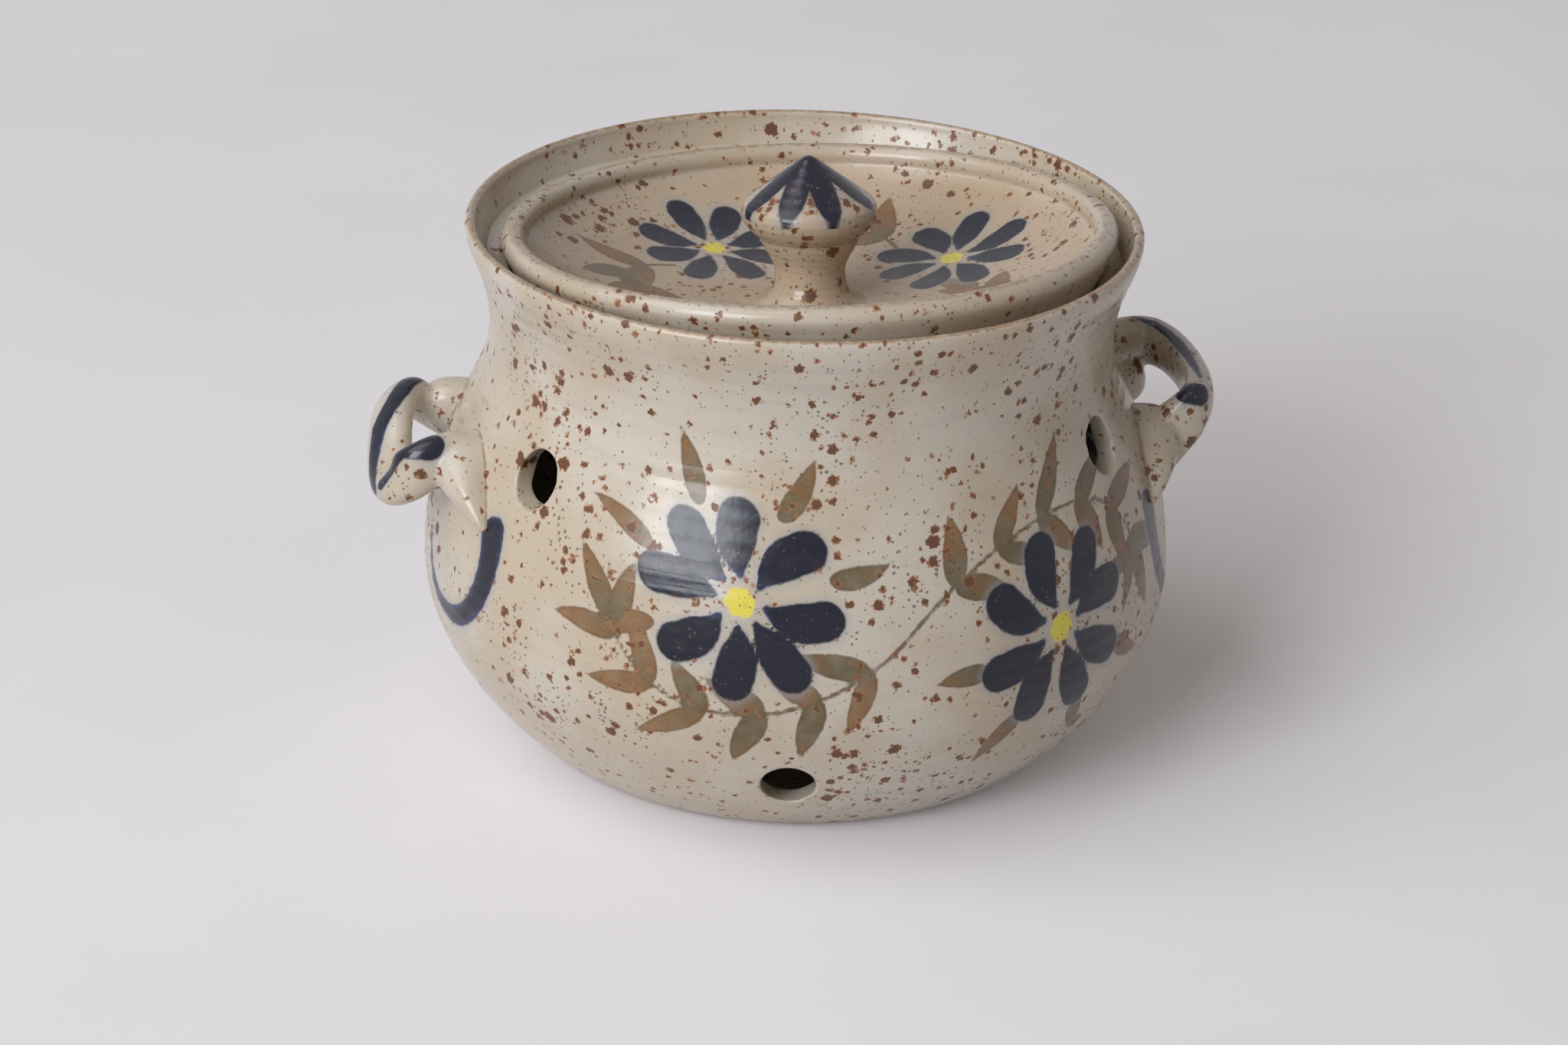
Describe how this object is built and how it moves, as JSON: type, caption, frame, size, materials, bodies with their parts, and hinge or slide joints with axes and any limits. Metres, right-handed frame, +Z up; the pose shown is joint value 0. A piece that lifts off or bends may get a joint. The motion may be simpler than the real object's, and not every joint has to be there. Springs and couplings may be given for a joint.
{
  "type": "onion pot",
  "caption": "Round-bellied glazed stoneware onion keeper with air vents, small side lug handles and a loose dished lid with a pointed knob, seated inside the flared rim.",
  "frame": {"origin": "middle of the flat foot, on the surface that the pot stands on", "axes": "+Z up along the pot's turning axis, handles along X, front of the pot towards -Y"},
  "size_m": [0.2599, 0.23, 0.1828],
  "materials": {
    "pot_glaze": "satin glaze with iron speckles",
    "handle_glaze": "satin glaze with iron speckles",
    "lid_glaze": "satin glaze with iron speckles",
    "knob_glaze": "satin glaze with iron speckles"
  },
  "bodies": {
    "pot": {"pot_body": "pot_glaze", "left_handle": "handle_glaze", "right_handle": "handle_glaze"},
    "lid": {"lid": "lid_glaze", "lid_knob": "knob_glaze"}
  },
  "joints": [
    {"name": "lid_lift", "type": "slide", "parent": "pot", "child": "lid", "axis": [0, 0, 1], "range_m": [0, 0.08]}
  ]
}
